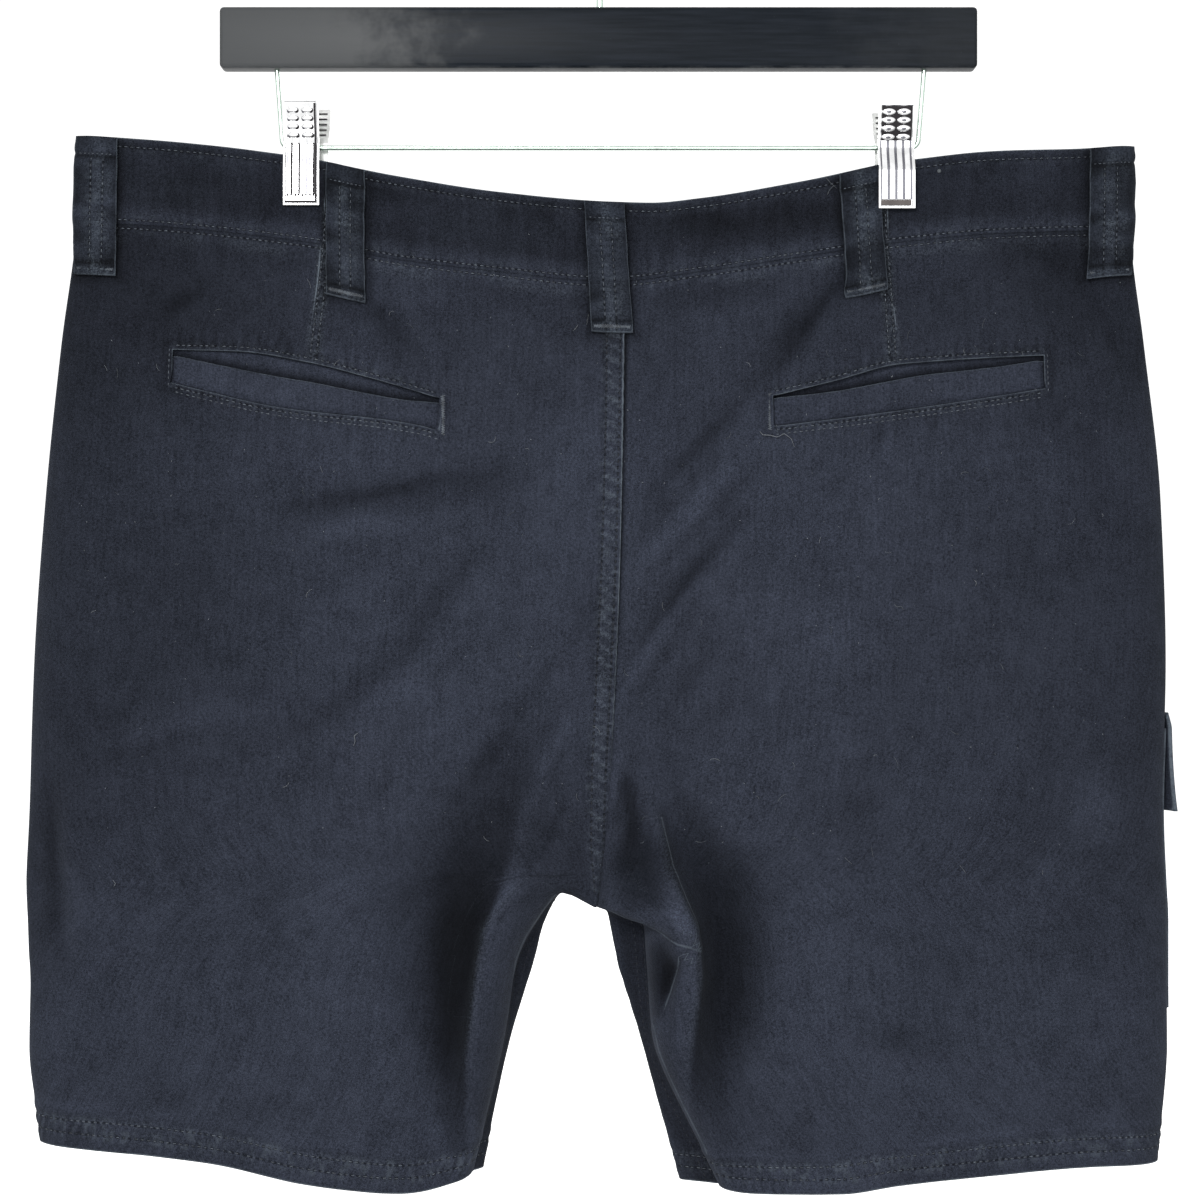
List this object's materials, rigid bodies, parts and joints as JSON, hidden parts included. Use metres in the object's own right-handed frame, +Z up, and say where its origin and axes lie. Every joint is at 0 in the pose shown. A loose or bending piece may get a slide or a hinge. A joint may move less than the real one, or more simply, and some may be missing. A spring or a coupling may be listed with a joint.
{
  "type": "cargo shorts on a clip hanger",
  "caption": "Cotton twill cargo shorts with belt loops, welt back pockets and flapped thigh pockets, hung flat from a bar hanger by spring clips.",
  "frame": {"origin": "inside top of the hanger's hook, where a rail carries it", "axes": "+Z up, +X towards the wearer's right side, +Y towards the front of the garment"},
  "size_m": [0.5786, 0.052, 0.6771],
  "materials": {
    "twill": "washed cotton twill, dark navy",
    "button": "satin",
    "black_wood": "black satin lacquer",
    "bright_steel": "bright plated steel"
  },
  "bodies": {
    "root": {"back_left": "twill", "back_right": "twill", "belt_loop_back_left": "twill", "belt_loop_back_right": "twill", "belt_loop_centre_back": "twill", "belt_loop_front_left": "twill", "belt_loop_front_right": "twill", "belt_loop_side_left": "twill", "belt_loop_side_right": "twill", "cargo_flap_left": "twill", "cargo_flap_right": "twill", "cargo_pocket_left": "twill", "cargo_pocket_right": "twill", "clip_left_barrel": "bright_steel", "clip_left_far_jaw": "bright_steel", "clip_left_near_jaw": "bright_steel", "clip_right_barrel": "bright_steel", "clip_right_far_jaw": "bright_steel", "clip_right_near_jaw": "bright_steel", "front_left": "twill", "front_right": "twill", "hanger_bar": "black_wood", "hanger_hook": "bright_steel", "hanger_rail": "bright_steel", "pocket_facing_left": "twill", "pocket_facing_right": "twill", "waist_button": "button", "waistband_back": "twill", "waistband_front_left": "twill", "waistband_front_right": "twill", "welt_left": "twill", "welt_right": "twill"}
  },
  "joints": []
}
